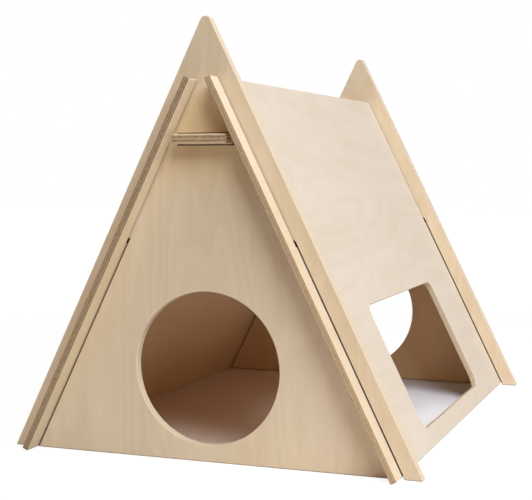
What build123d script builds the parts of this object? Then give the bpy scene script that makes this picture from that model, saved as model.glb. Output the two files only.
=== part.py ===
"""Slot-together plywood A-frame house for small pets.

Two triangular end panels, each with a round doorway, hold two sloping roof panels in half-lap slots.
A flat tie plate passes through both end panels under the ridge. One roof panel has a window.
Origin on the floor under the middle of the house, +X towards the window side, -Y the front, +Z up.
"""
import os
from math import atan2, cos, degrees, sin, tan

from build123d import *

os.makedirs("parts", exist_ok=True)

# End panels
base_width = 400.0          # across the feet of an end panel
peak_height = 406.5         # of the triangle before its tip is rounded
tip_radius = 5.0
foot_radius = 1.0           # on the corners that stand on the floor
end_thickness = 9.0
house_depth = 492.0         # from outside to outside of the two end panels

# Doorway, one in each end panel
door_diameter = 140.0
door_sill = 15.0            # from the floor to the doorway's lowest point

# Roof panels
roof_thickness = 6.0
ridge_gap = 14.1            # between the top edges of the two roof panels
roof_overhang = 19.0        # beyond the outside of each end panel
rim_width = 15.4            # of the end panel left outside the roof panel, square to the slope

# Half-lap slots
lap_height = 199.0          # where the two slots of a joint meet, on the roof panel's inner face
lap_clearance = 4.0         # between the two slot ends
slot_clearance = 0.9        # each side of the sheet in a slot
slot_radius = 2.5           # in the corners of a slot's end

# Window in the right roof panel
window_width = 258.0        # along the ridge
window_height = 129.0       # along the slope
window_sill = 18.0          # from the panel's bottom edge
window_radius = 12.0

# Tie plate
plate_width = 52.5
plate_thickness = 9.0
plate_gap = 4.3             # level, from its top corners to the roof panels
plate_overhang = 15.0       # beyond the outside of each end panel
plate_radius = 2.0          # on its long edges
plate_end_radius = 1.5      # round its two ends
plate_clearance = 0.5       # all round it in its slots

# Softened edges of the cut sheets
arris_radius = 0.6

# What follows from these sizes
slope = atan2(peak_height, base_width / 2)
roof_inset = rim_width + roof_thickness
roof_foot = roof_inset / tan(slope)
roof_foot_x = base_width / 2 - roof_inset / sin(slope)
roof_length = (roof_foot_x - ridge_gap / 2) / cos(slope)
lap_along = lap_height / sin(slope)
door_centre_height = door_sill + door_diameter / 2
roof_depth = house_depth + 2 * roof_overhang
plate_top = (roof_foot_x - plate_gap - plate_width / 2) * tan(slope)
plate_height = plate_top - plate_thickness / 2
plate_length = house_depth + 2 * plate_overhang
end_middle = (house_depth - end_thickness) / 2
SIDES = (-1, 1)


def slot_foot(side):
    """Foot of the slot in an end panel, square in from the foot of its sloping edge, Y up the slope."""
    inward = rim_width + roof_thickness / 2
    foot = (side * (base_width / 2 - inward * sin(slope)), -inward * cos(slope))
    return Location(foot, side * (90 - degrees(slope)))


def roof_plane(side):
    """Inner face of a roof panel: origin at its foot, X along the ridge, Y up the slope, Z outwards."""
    return Plane(
        origin=(side * roof_foot_x, 0, 0),
        x_dir=(0, side, 0),
        z_dir=(side * sin(slope), 0, cos(slope)),
    )


# Outline shared by the two end panels
slot_width = roof_thickness + 2 * slot_clearance
slot_top = roof_foot + lap_along + lap_clearance / 2
tip = (0, peak_height)
feet = [(side * base_width / 2, 0) for side in SIDES]
with BuildSketch() as end_outline:
    Polygon(feet[0], feet[1], tip, align=None)
    fillet(end_outline.vertices().sort_by(Axis.Y)[-1], tip_radius)
    fillet(end_outline.vertices().group_by(Axis.Y)[0].sort_by(Axis.X)[0], foot_radius)
    fillet(end_outline.vertices().group_by(Axis.Y)[0].sort_by(Axis.X)[-1], foot_radius)
    with Locations((0, door_centre_height)):
        Circle(door_diameter / 2, mode=Mode.SUBTRACT)
    with Locations((0, plate_height)):
        RectangleRounded(
            plate_width + 2 * plate_clearance,
            plate_thickness + 2 * plate_clearance,
            plate_radius + plate_clearance,
            mode=Mode.SUBTRACT,
        )
    for side in SIDES:
        with Locations(slot_foot(side)):
            RectangleRounded(slot_width, 2 * slot_top, slot_radius, mode=Mode.SUBTRACT)

# Outline shared by the two roof panels, before the window is cut
with BuildSketch() as roof_outline:
    with Locations((0, roof_length / 2)):
        Rectangle(roof_depth, roof_length)
    lap_slot_length = roof_length - lap_along + lap_clearance / 2
    lap_slot_width = end_thickness + 2 * slot_clearance
    with Locations(*[(end * end_middle, roof_length) for end in SIDES]):
        RectangleRounded(lap_slot_width, 2 * lap_slot_length, slot_radius, mode=Mode.SUBTRACT)

# Front end panel
with BuildPart() as front_panel:
    with BuildSketch(Plane.XZ.offset(house_depth / 2)):
        add(end_outline.sketch)
    extrude(amount=-end_thickness)
    front_faces = front_panel.faces().filter_by(Axis.Y)
    fillet(front_faces.edges(), arris_radius)
front_panel.part.label = "front_panel"
export_step(front_panel.part, "parts/front_panel.step")

# Back end panel
with BuildPart() as back_panel:
    with BuildSketch(Plane.XZ.offset(-house_depth / 2)):
        add(end_outline.sketch)
    extrude(amount=end_thickness)
    back_faces = back_panel.faces().filter_by(Axis.Y)
    fillet(back_faces.edges(), arris_radius)
back_panel.part.label = "back_panel"
export_step(back_panel.part, "parts/back_panel.step")

# Plain roof sheet, lying flat with its inner face down
with BuildPart() as plain_sheet:
    with BuildSketch():
        add(roof_outline.sketch)
    extrude(amount=roof_thickness)
    plain_faces = plain_sheet.faces().filter_by(Axis.Z)
    fillet(plain_faces.edges(), arris_radius)

# Roof sheet with the window, lying flat
with BuildPart() as window_sheet:
    with BuildSketch():
        add(roof_outline.sketch)
        with Locations((0, window_sill + window_height / 2)):
            RectangleRounded(window_width, window_height, window_radius, mode=Mode.SUBTRACT)
    extrude(amount=roof_thickness)
    window_faces = window_sheet.faces().filter_by(Axis.Z)
    fillet(window_faces.edges(), arris_radius)

# Left roof panel
with BuildPart() as left_roof_panel:
    with Locations(roof_plane(-1)):
        add(plain_sheet.part)
left_roof_panel.part.label = "left_roof_panel"
export_step(left_roof_panel.part, "parts/left_roof_panel.step")

# Right roof panel
with BuildPart() as right_roof_panel:
    with Locations(roof_plane(1)):
        add(window_sheet.part)
right_roof_panel.part.label = "right_roof_panel"
export_step(right_roof_panel.part, "parts/right_roof_panel.step")

# Tie plate
with BuildPart() as tie_plate:
    with BuildSketch(Plane.XZ.offset(plate_length / 2)):
        with Locations((0, plate_height)):
            RectangleRounded(plate_width, plate_thickness, plate_radius)
    extrude(amount=-plate_length)
    plate_ends = tie_plate.faces().filter_by(Axis.Y)
    fillet(plate_ends.edges(), plate_end_radius)
tie_plate.part.label = "tie_plate"
export_step(tie_plate.part, "parts/tie_plate.step")

release_travel = max(lap_along, roof_length - lap_along)
print("roof panels slide", round(release_travel, 2), "mm along the slope until the half-laps are free")
print("tie plate slides", round(plate_length - plate_overhang, 2), "mm until it is clear of the house")
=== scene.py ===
from collections import namedtuple
from math import cos, radians, sin, tan

import bpy
from mathutils import Euler, Matrix, Vector


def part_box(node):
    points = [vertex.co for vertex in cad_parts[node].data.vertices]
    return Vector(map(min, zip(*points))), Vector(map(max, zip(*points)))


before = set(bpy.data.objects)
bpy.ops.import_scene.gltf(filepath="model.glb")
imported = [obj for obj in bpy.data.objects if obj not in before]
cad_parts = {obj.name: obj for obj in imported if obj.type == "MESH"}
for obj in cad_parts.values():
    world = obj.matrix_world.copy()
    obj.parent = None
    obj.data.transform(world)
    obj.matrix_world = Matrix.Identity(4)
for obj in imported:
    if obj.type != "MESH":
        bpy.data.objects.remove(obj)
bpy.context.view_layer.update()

X, Y, Z = (1.0, 0.0, 0.0), (0.0, 1.0, 0.0), (0.0, 0.0, 1.0)

# Sheets of the model, in metres
END_THICKNESS = 0.009
ROOF_THICKNESS = 0.006
PLATE_THICKNESS = 0.009
END_PLIES = 7
ROOF_PLIES = 5
PLATE_PLIES = 5
SLOPE = radians(63.8026)
ROOF_FOOT = 0.17615             # level, from the middle to the inner foot of a roof panel
ROOF_START = ROOF_FOOT * sin(SLOPE)
LEFT_UP, LEFT_OUT = (cos(SLOPE), 0.0, sin(SLOPE)), (-sin(SLOPE), 0.0, cos(SLOPE))
RIGHT_UP, RIGHT_OUT = (-cos(SLOPE), 0.0, sin(SLOPE)), (sin(SLOPE), 0.0, cos(SLOPE))
front_low, back_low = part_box("front_panel")[0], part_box("back_panel")[0]
plate_low, plate_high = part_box("tie_plate")
PLATE_MIDDLE = (plate_low.z + plate_high.z) / 2

# Inside of the house, a little larger than the room, so that the faces that line it fall in it and take the painted
# warm bounce colour
ROOM_HALF_DEPTH = 0.2378
ROOM_HALF_WIDTH = 0.1768        # on the floor
ROOM_HEIGHT = 0.342             # up to the ridge

# Tabs of the roof panels: where they start along the ridge, and the heights between which a painted highlight makes
# them paler
TAB_START = 0.25
TAB_HIGHLIGHT_HEIGHTS = (0.18, 0.34)

# Front panel between the tabs: the heights between which painted warm bounce light makes it yellower, and then plain
# again
NOOK_BOUNCE_STARTS = (0.23, 0.28)
NOOK_BOUNCE_ENDS = (0.325, 0.345)

# Slots, measured just past their walls, where dark brown stands partly for burnt cut edges and partly for painted
# shade in the gaps; the band of painted shade on the roof panels beside them; and the darker line along the floor,
# partly dirt and partly painted contact shadow
SLOT_SPARE = 0.0015             # each side of a roof panel in an end panel
SLOT_TOP = 0.2017
PLATE_SLOT_HALF_WIDTH = 0.0276
PLATE_SLOT_HALF_HEIGHT = 0.0058
ROOF_SLOT_MIDDLE = 0.2415       # along the ridge
ROOF_SLOT_HALF = 0.0060
LAP_HEIGHT = 0.197
SLOT_BAND_SHADE_HALF = (0.0040, 0.0050)
FOOT_DIRT_AND_SHADOW_HEIGHT = (0.0003, 0.0012)

# Colours of the sheets, in steps of 0 to 255
END_FACE, END_EDGE = (222, 204, 177), (232, 219, 199)
BACK_FACE = (228, 210, 183)
# The roof panels' tabs take tones of their own: painted light, with warm light bounced off the end panels beside them
LEFT_FACE, LEFT_TAB_BOUNCE = (219, 205, 184), (230, 214, 183)
RIGHT_FACE, RIGHT_TAB_BOUNCE = (219, 208, 194), (222, 205, 177)
ROOF_EDGE = (222, 204, 178)
# Painted warm bounce light on the faces that line the inside of the house
INSIDE_BOUNCE = (238, 208, 168)

# Tints, by which a colour is multiplied
DARK_GRAIN, PALE_GRAIN = (0.90, 0.865, 0.80, 1.0), (1.10, 1.135, 1.20, 1.0)
FLECK = (0.78, 0.66, 0.52, 1.0)
# Painted warm light, as if bounced between the tabs, on the front panel between them
NOOK_BOUNCE = (1.05, 0.995, 0.86, 1.0)
# Painted highlight, paler towards the top of the roof panels' tabs
TAB_TOP_HIGHLIGHT = (1.08, 1.09, 1.15, 1.0)
END_GRAIN = (0.94, 0.90, 0.84, 1.0)
# Tints of the cut edges of the roof panels' tabs, the left's darker than the right's
SAWN_LEFT, SAWN_RIGHT = (0.34, 0.25, 0.17, 1.0), (0.58, 0.48, 0.36, 1.0)
SAWN_PLATE = (0.44, 0.33, 0.22, 1.0)
PLY_SHADE = (0.90, 0.86, 0.80, 1.0)
GLUE = (0.58, 0.46, 0.34, 1.0)
# Painted shade on the roof panels where they pass through the end panels' slots
SLOT_BAND_SHADE = (0.84, 0.68, 0.42, 1.0)
# Darker line along the floor: partly dirt on the sheets' feet, partly painted contact shadow
FOOT_DIRT_AND_SHADOW = (0.42, 0.32, 0.24, 1.0)
# Partly burnt cut edges, partly painted shade in the narrow slot gaps
SLOT_BURN_AND_SHADE = (0.11, 0.055, 0.016, 1.0)   # a colour of its own

# Scales of the grain's noises, along and across it, per metre
MOTTLE_SCALE = (7.0, 13.0)
STREAK_SCALE = (4.0, 60.0)
SWELL_SCALE = (3.2, 11.0)
RINGS = 13.0
FIBRE_SCALE = (70.0, 1500.0)
FLECK_SCALE = (100.0, 760.0)
PLY_SHADE_SCALE = (7.31, 3.0)           # from veneer to veneer, and along its grain
PORE_SCALE = (420.0, 420.0)
PORE_DEPTH_SCALE = 900.0

# How the noises turn into grain
RING_RISE, RING_FALL = (0.0, 0.75), (0.8, 1.0)
FLECK_LIMITS, FLECK_STRENGTH = (0.69, 0.78), 0.45
MOTTLE_WEIGHT, STREAK_WEIGHT, FIGURE_WEIGHT, FIBRE_WEIGHT = 1.3, 1.0, -0.30, 0.9

# Cut edges. Where four numbers stand together, a noise from the first to the second gives the third to the fourth
LAYER_MARGIN = 0.02                     # of a veneer, kept clear at the sheet's faces
GLUE_LINE = (0.36, 0.47)                # of a veneer, out from its middle
GLUE_HIDDEN = (0.0006, 0.0002)          # below a face, where glue lines end
EDGE_TURN = (0.45, 0.9)                 # of the surface, from an edge to a face
END_ON = (0.3, 0.9)                     # of the surface, from along a veneer's grain to across it
OUTER_PLY_DARKNESS = 0.2                  # of what the inner plies are
PORES_IN_GRAIN = (0.3, 0.7, 0.7, 1.0)
PORES_IN_GLUE = (0.3, 0.6, 0.25, 0.7)
PLY_SHADE_RANGE = (0.3, 0.7, 0.0, 0.5)

# Surface of the bare wood
SPECULAR = 0.13
ROUGHNESS_RANGE = (0.3, 0.7, 0.68, 0.80)
EDGE_ROUGHNESS = 0.1                    # added on cut edges
FIBRE_RAISED, FIGURE_RAISED, FLECK_SUNK, GLUE_SUNK = 0.7, 0.12, 0.35, 0.5
BUMP_STRENGTH = 0.2
BUMP_DISTANCE = 0.0004

# A sheet: directions along and across its outer grain and through its veneers, where it starts in that direction,
# its thickness and veneers, its colours (on the roof panels, that of the tabs holds painted light), its sawn tint, how
# dark the long-grain veneers of its sawn tab edges get, and its grain
Sheet = namedtuple("Sheet", "along across through start thickness plies face edge tab sawn soaked contrast seed")


class Nodes:
    """Small helper that builds the node tree of a material or of the world."""

    def __init__(self, owner):
        owner.use_nodes = True
        self.tree = owner.node_tree
        self.tree.nodes.clear()

    def add(self, kind, **settings):
        node = self.tree.nodes.new(kind)
        for key, value in settings.items():
            setattr(node, key, value)
        return node

    def put(self, socket, value):
        if isinstance(value, bpy.types.NodeSocket):
            self.tree.links.new(value, socket)
        else:
            socket.default_value = value

    def fill(self, node, *values):
        """Puts the values into the node's first inputs, and gives its first output."""
        for socket, value in zip(node.inputs, values):
            self.put(socket, value)
        return node.outputs[0]

    def named(self, node, values):
        """Puts the values into the node's inputs of those names."""
        for name, value in values.items():
            self.put(node.inputs[name], value)
        return node

    def math(self, operation, a, b=0.0, c=0.0, clamp=False):
        return self.fill(self.add("ShaderNodeMath", operation=operation, use_clamp=clamp), a, b, c)

    def times(self, a, b):
        return self.math("MULTIPLY", a, b)

    def largest(self, a, b):
        return self.math("MAXIMUM", a, b)

    def below(self, value, limit):
        return self.math("LESS_THAN", value, limit)

    def above(self, value, limit):
        return self.math("GREATER_THAN", value, limit)

    def off(self, value, middle=0.0):
        """How far a value is from a middle."""
        return self.math("ABSOLUTE", self.math("SUBTRACT", value, middle))

    def dot(self, a, b):
        node = self.add("ShaderNodeVectorMath", operation="DOT_PRODUCT")
        self.fill(node, a, b)
        return node.outputs["Value"]

    def axes(self, vector):
        node = self.add("ShaderNodeSeparateXYZ")
        self.fill(node, vector)
        return tuple(node.outputs)

    def noise(self, u, v, w, scales, detail=2.0, roughness=0.5, distortion=0.0):
        """Noise at u and v, each times its scale, and at w."""
        place = self.fill(self.add("ShaderNodeCombineXYZ"), self.times(u, scales[0]), self.times(v, scales[1]), w)
        return self.named(self.add("ShaderNodeTexNoise"), {
            "Vector": place,
            "Scale": 1.0,
            "Detail": detail,
            "Roughness": roughness,
            "Distortion": distortion,
        }).outputs["Fac"]

    def spread(self, value, low, high, to_low=0.0, to_high=1.0):
        """Smooth step from one number to another, where a value goes from low to high."""
        settings = {"Value": value, "From Min": low, "From Max": high, "To Min": to_low, "To Max": to_high}
        node = self.add("ShaderNodeMapRange", interpolation_type="SMOOTHSTEP")
        return self.named(node, settings).outputs["Result"]

    def fade(self, value, low, high):
        """Smooth step down from 1 to 0, where a value goes from low to high."""
        return self.spread(value, low, high, 1.0, 0.0)

    def mix(self, factor, a, b, blend="MIX"):
        node = self.add("ShaderNodeMix", data_type="RGBA", blend_type=blend)
        return self.named(node, {"Factor": factor, "A": a, "B": b}).outputs["Result"]

    def tint(self, factor, colour, tint):
        return self.mix(factor, colour, tint, "MULTIPLY")

    def between(self, factor, a, b):
        node = self.add("ShaderNodeMix", data_type="FLOAT")
        return self.named(node, {"Factor": factor, "A": a, "B": b}).outputs["Result"]

    def seen(self):
        """1 for the rays that show a thing to the camera, also in gloss or through glass, and 0 for its light."""
        paths = self.add("ShaderNodeLightPath").outputs
        indirect = self.largest(paths["Is Glossy Ray"], paths["Is Transmission Ray"])
        return self.largest(paths["Is Camera Ray"], indirect)

    def blend(self, factor, a, b):
        return self.fill(self.add("ShaderNodeMixShader"), factor, a, b)

    def finish(self, kind, shader):
        self.put(self.add(kind).inputs["Surface"], shader)


def linear(colour):
    """Colour written in steps of 0 to 255, as the shader takes it."""
    return tuple(((c / 255 + 0.055) / 1.055) ** 2.4 for c in colour) + (1.0,)


class Plywood(Nodes):
    """Birch plywood as a solid: its veneers lie stacked in one direction, with the grain of every other one turned."""

    def __init__(self, name, sheet):
        self.material = bpy.data.materials.new(name)
        super().__init__(self.material)
        self.sheet = sheet
        coordinates = self.add("ShaderNodeTexCoord").outputs
        place, self.normal = coordinates["Object"], coordinates["Normal"]
        x, self.y, self.height = self.axes(place)
        self.aside, self.along_ridge = self.off(x), self.off(self.y)
        self.u, self.v = self.dot(place, sheet.along), self.dot(place, sheet.across)
        self.depth = self.math("SUBTRACT", self.dot(place, sheet.through), sheet.start)
        self.is_end, self.is_plate = sheet.through == Y, sheet.through == Z
        self.tabs = self.above(self.along_ridge, TAB_START)
        self.veneers()
        self.grain()
        self.surface(self.slots(self.edges(self.faces())))

    def veneers(self):
        """Which veneer a point is in, whether its grain is crosswise, and the glue lines between veneers."""
        sheet = self.sheet
        layer = self.math("DIVIDE", self.depth, sheet.thickness / sheet.plies)
        self.layer = self.math("MINIMUM", self.largest(layer, LAYER_MARGIN), sheet.plies - LAYER_MARGIN)
        self.index = self.math("FLOOR", self.layer)
        self.cross = self.math("MODULO", self.index, 2.0)
        self.with_grain = self.between(self.cross, self.u, self.v)
        self.over_grain = self.between(self.cross, self.v, self.u)
        half = sheet.thickness / 2
        buried = self.fade(self.off(self.depth, half), half - GLUE_HIDDEN[0], half - GLUE_HIDDEN[1])
        within = self.off(self.math("FRACT", self.layer), 0.5)
        self.glue = self.times(self.spread(within, *GLUE_LINE), buried)

    def grain(self):
        """Soft mottling, streaks, the broad figure of peeled birch, fine fibres and short flecks."""
        u, v, seed = self.u, self.v, self.sheet.seed
        mottle = self.noise(u, v, seed, MOTTLE_SCALE, 3.0, 0.55)
        streak = self.noise(u, v, seed + 3.0, STREAK_SCALE, 3.0, 0.6)
        swell = self.noise(u, v, seed + 7.0, SWELL_SCALE, 2.0, 0.45, 0.3)
        rings = self.math("FRACT", self.times(swell, RINGS))
        self.figure = self.times(self.spread(rings, *RING_RISE), self.fade(rings, *RING_FALL))
        deep = self.math("MULTIPLY_ADD", self.depth, FIBRE_SCALE[1], seed)
        self.fibre = self.noise(self.with_grain, self.over_grain, deep, FIBRE_SCALE, 2.0, 0.6)
        deep = self.math("MULTIPLY_ADD", self.depth, FLECK_SCALE[1], seed + 11.0)
        fleck = self.noise(self.with_grain, self.over_grain, deep, FLECK_SCALE, 1.0)
        self.fleck = self.spread(fleck, *FLECK_LIMITS)
        tone = 0.5
        for value, weight in (
            (mottle, MOTTLE_WEIGHT),
            (streak, STREAK_WEIGHT),
            (self.figure, FIGURE_WEIGHT),
            (self.fibre, FIBRE_WEIGHT),
        ):
            tone = self.math("MULTIPLY_ADD", self.math("SUBTRACT", value, 0.5), weight, tone)
        tone = self.math("SUBTRACT", tone, 0.5)
        self.tone = self.math("MULTIPLY_ADD", tone, self.sheet.contrast, 0.5, clamp=True)

    def faces(self):
        """Colour of the sanded outside, with painted light: own tones and a highlight on the roof panels' tabs, and
        warm bounce light between the front tabs and on the faces that line the inside of the house.
        """
        height = self.height
        level = self.math("MULTIPLY_ADD", height, 1 / tan(SLOPE), self.aside)
        under_roof = self.below(level, ROOM_HALF_WIDTH)
        # Tabs take their own colour, which on the roof panels is painted light
        colour = self.mix(self.tabs, linear(self.sheet.face), linear(self.sheet.tab))
        if self.is_end:
            # Painted warm bounce light on the front panel between the tabs
            nook_bounce = self.times(self.spread(height, *NOOK_BOUNCE_STARTS), self.fade(height, *NOOK_BOUNCE_ENDS))
            nook_bounce = self.times(nook_bounce, self.below(self.y, 0.0))
            colour = self.tint(self.times(nook_bounce, under_roof), colour, NOOK_BOUNCE)
        elif not self.is_plate:
            # Painted highlight up the tabs of the roof panels
            colour = self.tint(self.times(self.tabs, self.spread(height, *TAB_HIGHLIGHT_HEIGHTS)), colour, TAB_TOP_HIGHLIGHT)
        if not self.is_plate:
            # Painted warm bounce light on the faces inside the house
            room = self.times(self.below(self.along_ridge, ROOM_HALF_DEPTH), self.below(height, ROOM_HEIGHT))
            colour = self.mix(self.times(room, under_roof), colour, linear(INSIDE_BOUNCE))
        colour = self.mix(self.tone, self.tint(1.0, colour, DARK_GRAIN), self.tint(1.0, colour, PALE_GRAIN))
        return self.tint(self.times(self.fleck, FLECK_STRENGTH * self.sheet.contrast), colour, FLECK)

    def edges(self, colour):
        """Cut edges: each veneer has its own shade, those cut across the grain are darker, and glue lines show."""
        sheet = self.sheet
        side = self.fade(self.off(self.dot(self.normal, sheet.through)), *EDGE_TURN)
        sawn = self.times(side, self.tabs)
        end_on = self.off(self.dot(self.normal, sheet.along)), self.off(self.dot(self.normal, sheet.across))
        end_on = self.between(self.cross, *end_on)
        shade = self.noise(self.index, self.with_grain, sheet.seed + 17.0, PLY_SHADE_SCALE, 0.0)
        pores = self.noise(self.u, self.v, self.times(self.depth, PORE_DEPTH_SCALE), PORE_SCALE, 1.0)
        outer_ply = self.above(self.off(self.layer, sheet.plies / 2), sheet.plies / 2 - 1)
        soaked = self.times(self.times(sawn, sheet.soaked), self.between(outer_ply, 1.0, OUTER_PLY_DARKNESS))
        darker = self.largest(self.spread(end_on, *END_ON), soaked)
        darker = self.times(darker, self.spread(pores, *PORES_IN_GRAIN))
        glued = self.times(self.times(self.glue, side), self.spread(pores, *PORES_IN_GLUE))
        colour = self.mix(side, colour, linear(sheet.edge))
        colour = self.tint(darker, colour, self.mix(sawn, END_GRAIN, sheet.sawn))
        colour = self.tint(self.times(side, self.spread(shade, *PLY_SHADE_RANGE)), colour, PLY_SHADE)
        self.side = side
        return self.tint(glued, colour, GLUE)

    def slots(self, colour):
        """Dark brown in the slots, partly burnt cut edges and partly painted shade in the gaps; a band of painted
        shade on the roof panels there; and a darker line along the floor, partly dirt and partly painted contact
        shadow.
        """
        height = self.height
        self.specular = SPECULAR
        if self.is_end:
            out = self.math("MULTIPLY_ADD", self.aside, sin(SLOPE), self.times(height, cos(SLOPE)))
            past = self.off(self.math("SUBTRACT", out, ROOF_START), ROOF_THICKNESS / 2)
            roof_slot = self.below(past, ROOF_THICKNESS / 2 + SLOT_SPARE)
            roof_slot = self.times(roof_slot, self.below(height, SLOT_TOP))
            over = self.below(self.off(height, PLATE_MIDDLE), PLATE_SLOT_HALF_HEIGHT)
            wall = self.largest(roof_slot, self.times(self.below(self.aside, PLATE_SLOT_HALF_WIDTH), over))
        elif not self.is_plate:
            past = self.off(self.along_ridge, ROOF_SLOT_MIDDLE)
            wall = self.times(self.below(past, ROOF_SLOT_HALF), self.above(height, LAP_HEIGHT))
            # Painted shade band on the roof panel where it sits in an end panel's slot
            colour = self.tint(self.fade(past, *SLOT_BAND_SHADE_HALF), colour, SLOT_BAND_SHADE)
        if not self.is_plate:
            # Dark brown in the slots: partly burnt cut edges, partly painted shade in the gaps
            colour = self.mix(wall, colour, SLOT_BURN_AND_SHADE)
            self.specular = self.between(wall, SPECULAR, 0.0)
        # Darker line along the floor, partly dirt and partly painted contact shadow
        return self.tint(self.fade(height, *FOOT_DIRT_AND_SHADOW_HEIGHT), colour, FOOT_DIRT_AND_SHADOW)

    def surface(self, colour):
        """Bare wood with fibres that stand up a little, and flecks and glue lines that lie a little low."""
        raised = self.math("MULTIPLY_ADD", self.fibre, FIBRE_RAISED, self.times(self.figure, FIGURE_RAISED))
        sunk = self.math("MULTIPLY_ADD", self.fleck, FLECK_SUNK, self.times(self.glue, GLUE_SUNK))
        bump = self.named(self.add("ShaderNodeBump"), {
            "Strength": BUMP_STRENGTH,
            "Distance": BUMP_DISTANCE,
            "Height": self.math("SUBTRACT", raised, sunk),
        })
        rough = self.spread(self.fibre, *ROUGHNESS_RANGE)
        shader = self.named(self.add("ShaderNodeBsdfPrincipled"), {
            "Base Color": colour,
            "Roughness": self.math("ADD", rough, self.times(self.side, EDGE_ROUGHNESS)),
            "Normal": bump.outputs["Normal"],
            "Specular IOR Level": self.specular,
        })
        self.finish("ShaderNodeOutputMaterial", shader.outputs[0])


finishes = {
    "front_panel": ("front_ply", Sheet(
        Z, X, Y, front_low.y, END_THICKNESS, END_PLIES, END_FACE, END_EDGE, END_FACE,
        sawn=END_GRAIN, soaked=0.0, contrast=0.5, seed=1.7)),
    "back_panel": ("back_ply", Sheet(
        Z, X, Y, back_low.y, END_THICKNESS, END_PLIES, BACK_FACE, END_EDGE, BACK_FACE,
        sawn=END_GRAIN, soaked=0.0, contrast=0.5, seed=23.1)),
    "left_roof_panel": ("left_roof_ply", Sheet(
        Y, LEFT_UP, LEFT_OUT, ROOF_START, ROOF_THICKNESS, ROOF_PLIES, LEFT_FACE, ROOF_EDGE, LEFT_TAB_BOUNCE,
        sawn=SAWN_LEFT, soaked=0.65, contrast=0.35, seed=41.9)),
    "right_roof_panel": ("right_roof_ply", Sheet(
        Y, RIGHT_UP, RIGHT_OUT, ROOF_START, ROOF_THICKNESS, ROOF_PLIES, RIGHT_FACE, ROOF_EDGE, RIGHT_TAB_BOUNCE,
        sawn=SAWN_RIGHT, soaked=0.6, contrast=0.35, seed=67.3)),
    "tie_plate": ("plate_ply", Sheet(
        X, Y, Z, plate_low.z, PLATE_THICKNESS, PLATE_PLIES, END_FACE, END_FACE, END_FACE,
        sawn=SAWN_PLATE, soaked=0.6, contrast=0.6, seed=88.8)),
}
for node, (name, sheet) in finishes.items():
    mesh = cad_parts[node].data
    mesh.materials.clear()
    mesh.materials.append(Plywood(name, sheet).material)

# Floor, white to the camera around the house; inside it pale, with a painted warm tone for light bounced off the wood
# away from the window, and a cooler tone under the window where the light falls
FLOOR_HALF = 6.0
INSIDE_HALF_WIDTH, INSIDE_HALF_DEPTH = 0.179, 0.2415
OPEN_REACH = 0.8                        # how far a point of the floor looks for things above it
OPEN_SAMPLES = 16
OPEN_WHITE = (0.45, 0.57)               # openness between which the floor inside turns white
OPEN_PLAIN = (0.38, 0.47)               # and between which it turns from its indoor tones to a plain one
NEAR_FLOOR, FAR_FLOOR = (0.92, 0.92, 0.94, 1.0), (0.34, 0.34, 0.34, 1.0)
NEAR = (0.42, 0.95)                     # distances between which the floor goes from near to far
LEFT_SIDE, LEFT_DARKER = (-0.25, 0.12), (0.45, 0.45, 0.45, 1.0)
RIGHT_SIDE, RIGHT_WARMER = (0.10, 0.25), (0.84, 0.77, 0.74, 1.0)
INDOOR_SIDES = (-0.02, 0.10)            # from the side away from the window to the side under it
# Painted light on the floor inside: warm bounce light away from the window, a cooler tone under the window where the
# light comes in
INDOOR_BOUNCE, INDOOR_COOL = (0.86, 0.69, 0.60, 1.0), (0.65, 0.645, 0.72, 1.0)
INDOOR_PLAIN = (0.63, 0.62, 0.67, 1.0)
WHITE = (1.0, 1.0, 1.0, 1.0)
GLOW_DISTANCES, GLOW = (0.5, 1.4), (1.09, 1.25)
SIDE_GLOW = 0.045                       # makes up for the darker floor on the left and right
GLOW_SHARE = 0.8                        # the rest of what the camera sees is the floor's light and shadow

corners = [(-1, -1), (1, -1), (1, 1), (-1, 1)]
floor_mesh = bpy.data.meshes.new("floor")
floor_mesh.from_pydata([(x * FLOOR_HALF, y * FLOOR_HALF, 0) for x, y in corners], [], [(0, 1, 2, 3)])
floor = bpy.data.objects.new("floor", floor_mesh)
bpy.context.scene.collection.objects.link(floor)
floor_material = bpy.data.materials.new("floor_white")
floor_mesh.materials.append(floor_material)
n = Nodes(floor_material)
place = n.add("ShaderNodeTexCoord").outputs["Object"]
x, y, z = n.axes(place)
outside = n.largest(n.above(n.off(x), INSIDE_HALF_WIDTH), n.above(n.off(y), INSIDE_HALF_DEPTH))
open_above = n.add("ShaderNodeAmbientOcclusion", samples=OPEN_SAMPLES)
openness = n.named(open_above, {"Distance": OPEN_REACH}).outputs["AO"]
length = n.add("ShaderNodeVectorMath", operation="LENGTH")
n.fill(length, place)
away = length.outputs["Value"]
left, right = n.fade(x, *LEFT_SIDE), n.spread(x, *RIGHT_SIDE)
around = n.mix(n.spread(away, *NEAR), NEAR_FLOOR, FAR_FLOOR)
around = n.tint(right, n.tint(left, around, LEFT_DARKER), RIGHT_WARMER)
# Painted bounce light on the floor inside, warm away from the window
indoors = n.mix(n.spread(x, *INDOOR_SIDES), INDOOR_BOUNCE, INDOOR_COOL)
indoors = n.mix(n.spread(openness, *OPEN_PLAIN), indoors, INDOOR_PLAIN)
matt = n.named(n.add("ShaderNodeBsdfDiffuse"), {"Color": n.mix(outside, indoors, around)})
strength = n.math("MULTIPLY_ADD", n.math("ADD", left, right), SIDE_GLOW, n.spread(away, *GLOW_DISTANCES, *GLOW))
glow = n.named(n.add("ShaderNodeEmission"), {"Color": WHITE, "Strength": strength})
white = n.times(n.seen(), n.largest(outside, n.spread(openness, *OPEN_WHITE)))
n.finish("ShaderNodeOutputMaterial", n.blend(n.times(white, GLOW_SHARE), matt.outputs[0], glow.outputs[0]))

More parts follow.
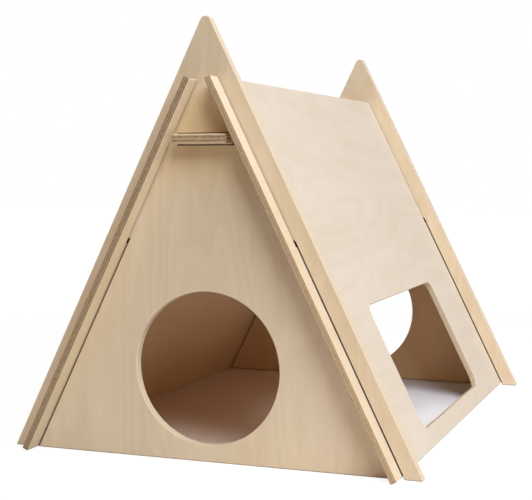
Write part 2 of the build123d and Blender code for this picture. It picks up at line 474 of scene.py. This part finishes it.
# Soft studio light: a dim warm room that is white to the camera, and four large lamps
ROOM_COLOUR, ROOM_STRENGTH = (1.0, 0.58, 0.30, 1.0), 0.22
world = bpy.data.worlds.new("studio")
bpy.context.scene.world = world
n = Nodes(world)
room = n.fill(n.add("ShaderNodeBackground"), ROOM_COLOUR, ROOM_STRENGTH)
backdrop = n.fill(n.add("ShaderNodeBackground"), WHITE, 1.0)
n.finish("ShaderNodeOutputWorld", n.blend(n.seen(), room, backdrop))


def lamp(name, place, target, size, power, colour):
    data = bpy.data.lights.new(name, "AREA")
    data.shape = "DISK"
    data.size = size
    data.energy = power
    data.color = colour
    made = bpy.data.objects.new(name, data)
    made.location = place
    made.rotation_euler = (Vector(target) - Vector(place)).to_track_quat("-Z", "Y").to_euler()
    bpy.context.scene.collection.objects.link(made)


# Name, direction, distance, diameter, power and colour of each lamp
MIDDLE = Vector((0.0, 0.0, 0.2))
for name, direction, distance, size, power, colour in (
    ("key_box", (0.505, -0.495, 0.70), 2.9, 2.1, 83.5, (0.95, 1.0, 1.02)),
    ("side_box", (0.70, 0.10, 0.70), 2.9, 1.6, 15.0, (0.95, 1.0, 1.03)),
    ("rear_box", (-0.62, 0.77, 0.15), 4.0, 1.8, 85.0, (1.0, 0.98, 0.96)),
    ("left_box", (-0.80, 0.10, 0.60), 4.0, 2.0, 68.0, (1.0, 1.0, 1.0)),
):
    lamp(name, MIDDLE + Vector(direction).normalized() * distance, MIDDLE, size, power, colour)

# Camera at the photograph's place
EYE = (0.43563, -1.24414, 0.26811)
AZIMUTH, PITCH, ROLL = radians(20.750), radians(3.980), radians(-0.047)
camera_data = bpy.data.cameras.new("camera")
camera_data.sensor_width = 36.0
camera_data.lens = 82.444
camera = bpy.data.objects.new("camera", camera_data)
bpy.context.scene.collection.objects.link(camera)
turn = Euler((radians(90) - PITCH, 0.0, AZIMUTH)).to_matrix() @ Matrix.Rotation(ROLL, 3, "Z")
camera.matrix_world = Matrix.Translation(EYE) @ turn.to_4x4()
bpy.context.scene.camera = camera

bpy.context.scene.view_settings.view_transform = "Standard"
